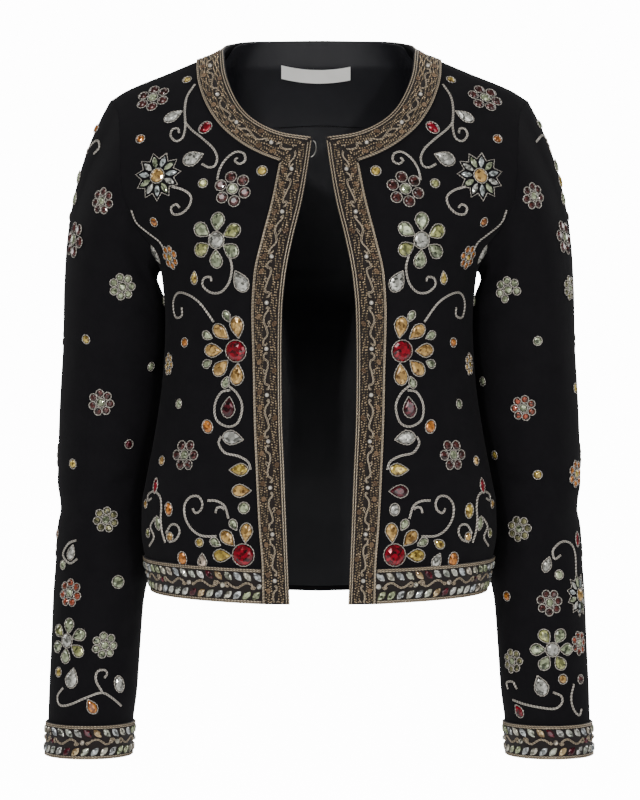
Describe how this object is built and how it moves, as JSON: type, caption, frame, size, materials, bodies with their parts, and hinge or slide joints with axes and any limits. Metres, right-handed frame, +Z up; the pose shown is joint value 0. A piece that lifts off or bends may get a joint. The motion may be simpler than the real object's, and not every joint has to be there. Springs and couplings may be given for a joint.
{
  "type": "embellished jacket",
  "caption": "Cropped collarless open-front jacket, worn hollow, with beaded edge bands and jewelled flowers.",
  "frame": {"origin": "midway between the two high shoulder points, where the neckline meets the shoulder seams", "axes": "+Z up, the front faces -Y, +X towards the wearer's left"},
  "size_m": [0.5132, 0.2216, 0.6684],
  "materials": {
    "black_crepe": "matt black wool crepe",
    "beaded_band": "brown ground covered with bronze seed beads",
    "jewelled_band": "dark red-brown ground under set stones",
    "black_satin": "smooth black lining satin",
    "white_tape": "plain off-white woven tape",
    "silver_wire": "bent wire",
    "seed_beads": "bronze lined glass seed beads",
    "silver_cord": "twisted silver-gilt purl cord",
    "clear_stones": "faceted clear stones",
    "topaz_stones": "faceted topaz and amber stones",
    "green_stones": "faceted pale green stones",
    "red_stones": "faceted ruby and garnet stones",
    "pearls": "small crystal pearls"
  },
  "bodies": {
    "root": {"front_left": "black_crepe", "front_right": "black_crepe", "back": "black_crepe", "sleeve_left": "black_crepe", "sleeve_right": "black_crepe", "front_band_left": "beaded_band", "front_band_right": "beaded_band", "neck_band_left": "beaded_band", "neck_band_right": "beaded_band", "neck_band_back": "beaded_band", "hem_band_left": "jewelled_band", "hem_band_right": "jewelled_band", "hem_band_back": "jewelled_band", "cuff_band_left": "jewelled_band", "cuff_band_right": "jewelled_band", "back_lining": "black_satin", "back_neck_facing": "black_satin", "neck_label": "white_tape", "neck_eye": "silver_wire"}
  },
  "joints": []
}
